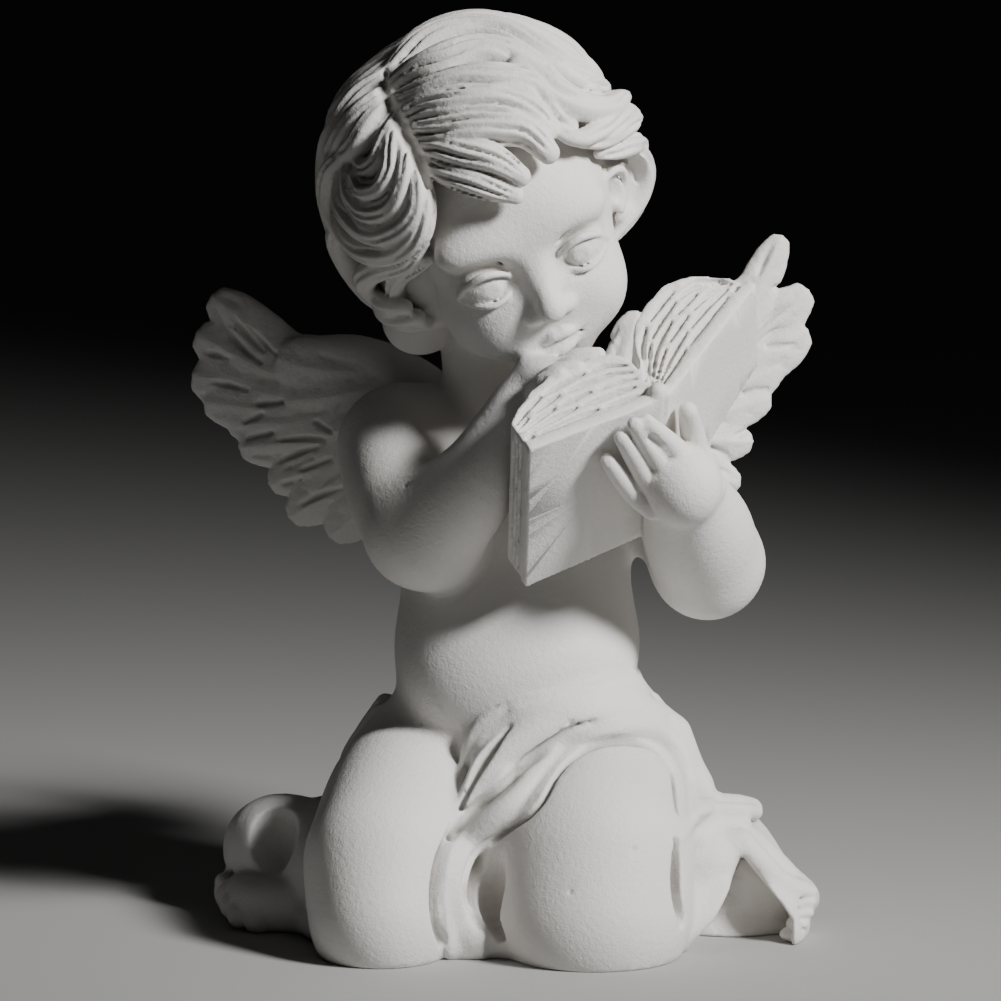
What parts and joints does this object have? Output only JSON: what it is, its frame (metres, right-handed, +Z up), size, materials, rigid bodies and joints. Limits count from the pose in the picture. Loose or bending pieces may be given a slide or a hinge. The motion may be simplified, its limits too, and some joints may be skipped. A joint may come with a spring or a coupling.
{
  "type": "cherub statuette",
  "caption": "Small cast statuette of a kneeling winged child in a loincloth, reading an open book held in both hands.",
  "frame": {"origin": "centre of the outline on the flat underside, which stands on the surface below", "axes": "+Z up through the crown of the head, -Y the way the knees point, +X to the figure's left"},
  "size_m": [0.105, 0.0808, 0.15],
  "materials": {
    "plaster": "matt white casting plaster, faintly warm, with small air-bubble pits and grime in the deep grooves"
  },
  "bodies": {
    "root": {"cherub_statuette": "plaster"}
  },
  "joints": []
}
